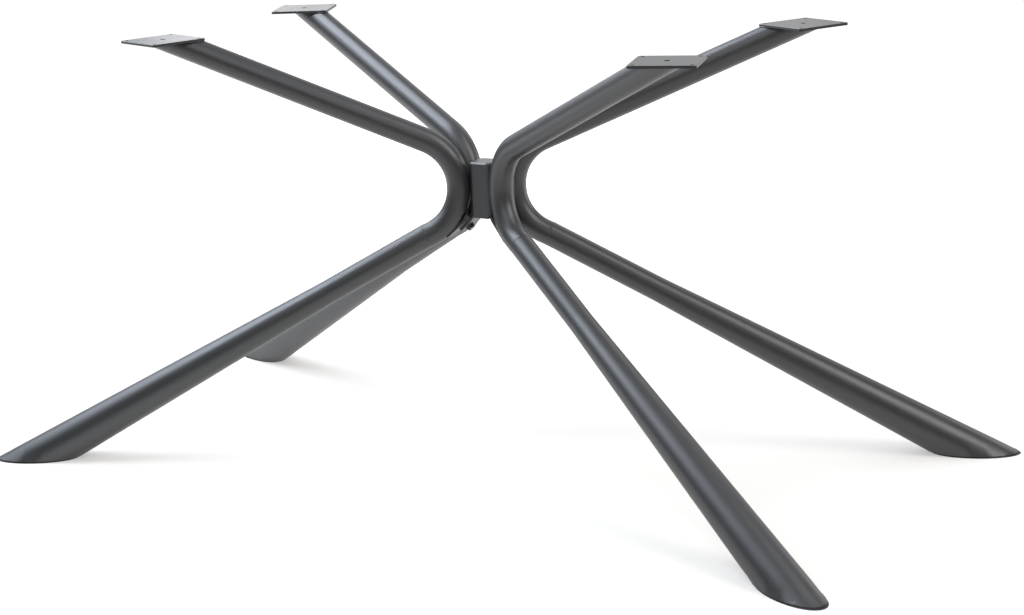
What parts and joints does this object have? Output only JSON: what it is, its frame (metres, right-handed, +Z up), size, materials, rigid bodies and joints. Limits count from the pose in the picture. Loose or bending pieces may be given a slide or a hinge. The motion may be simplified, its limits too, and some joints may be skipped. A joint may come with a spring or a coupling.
{
  "type": "twin table base",
  "caption": "Splayed steel table base: paired bent tubes on a central block carry square top plates and run down into tapered legs with level-cut feet.",
  "frame": {"origin": "on the floor, in the middle of the footprint's bounding box", "axes": "+X along the long side of the base, +Z up, -Y towards the wider pair of legs (the front)"},
  "size_m": [1.6058, 0.7596, 0.71],
  "materials": {
    "coated_steel": "matt powder coat, anthracite grey with a fine grain",
    "fastener_steel": "black zinc, satin",
    "foot_plastic": "matt black moulded plastic"
  },
  "bodies": {
    "root": {"front_left_tube": "coated_steel", "front_left_leg": "coated_steel", "front_left_top_plate": "coated_steel", "front_left_foot_pad": "foot_plastic", "front_right_tube": "coated_steel", "front_right_leg": "coated_steel", "front_right_top_plate": "coated_steel", "front_right_foot_pad": "foot_plastic", "back_left_tube": "coated_steel", "back_left_leg": "coated_steel", "back_left_top_plate": "coated_steel", "back_left_foot_pad": "foot_plastic", "back_right_tube": "coated_steel", "back_right_leg": "coated_steel", "back_right_top_plate": "coated_steel", "back_right_foot_pad": "foot_plastic", "centre_block": "coated_steel", "block_cap": "coated_steel", "left_gusset": "coated_steel", "right_gusset": "coated_steel", "saddle_plate": "coated_steel", "bolts": "fastener_steel", "washers": "fastener_steel", "nuts": "fastener_steel"}
  },
  "joints": []
}
